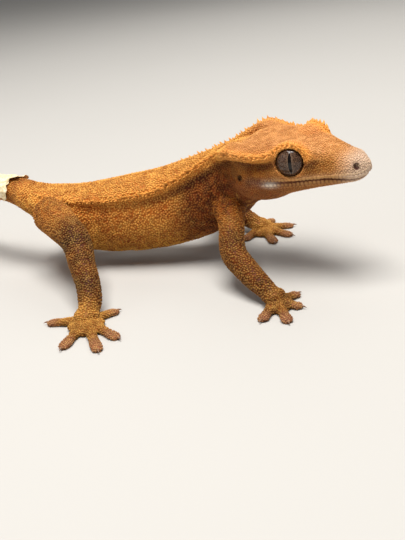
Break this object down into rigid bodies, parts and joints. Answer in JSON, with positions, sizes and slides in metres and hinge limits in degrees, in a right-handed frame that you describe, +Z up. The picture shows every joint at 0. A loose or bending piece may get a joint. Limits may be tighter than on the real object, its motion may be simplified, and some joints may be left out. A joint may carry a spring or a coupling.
{
  "type": "crested gecko",
  "caption": "Life-size still model of an orange crested gecko standing on splayed toes, head raised and turned to its right, spiny crest from brows to hips, tail laid behind.",
  "frame": {"origin": "on the floor, under the middle of the whole animal's bounding box", "axes": "+X along the body towards the head, +Y to the animal's left, +Z up"},
  "size_m": [0.16, 0.1026, 0.0358],
  "materials": {
    "skin": "matt granular skin in orange, gold and brown",
    "eye": "wet gloss over a veined grey-brown iris",
    "shed_skin": "dry matt film"
  },
  "bodies": {
    "root": {"head": "skin", "eye_left": "eye", "eye_right": "eye", "neck": "skin", "torso": "skin", "tail_base": "skin", "tail_middle": "skin", "tail_tip": "skin", "shed_skin": "shed_skin", "front_left_upper_leg": "skin", "front_left_lower_leg": "skin", "front_left_foot": "skin", "front_right_upper_leg": "skin", "front_right_lower_leg": "skin", "front_right_foot": "skin", "hind_left_upper_leg": "skin", "hind_left_lower_leg": "skin", "hind_left_foot": "skin", "hind_right_upper_leg": "skin", "hind_right_lower_leg": "skin", "hind_right_foot": "skin"}
  },
  "joints": []
}
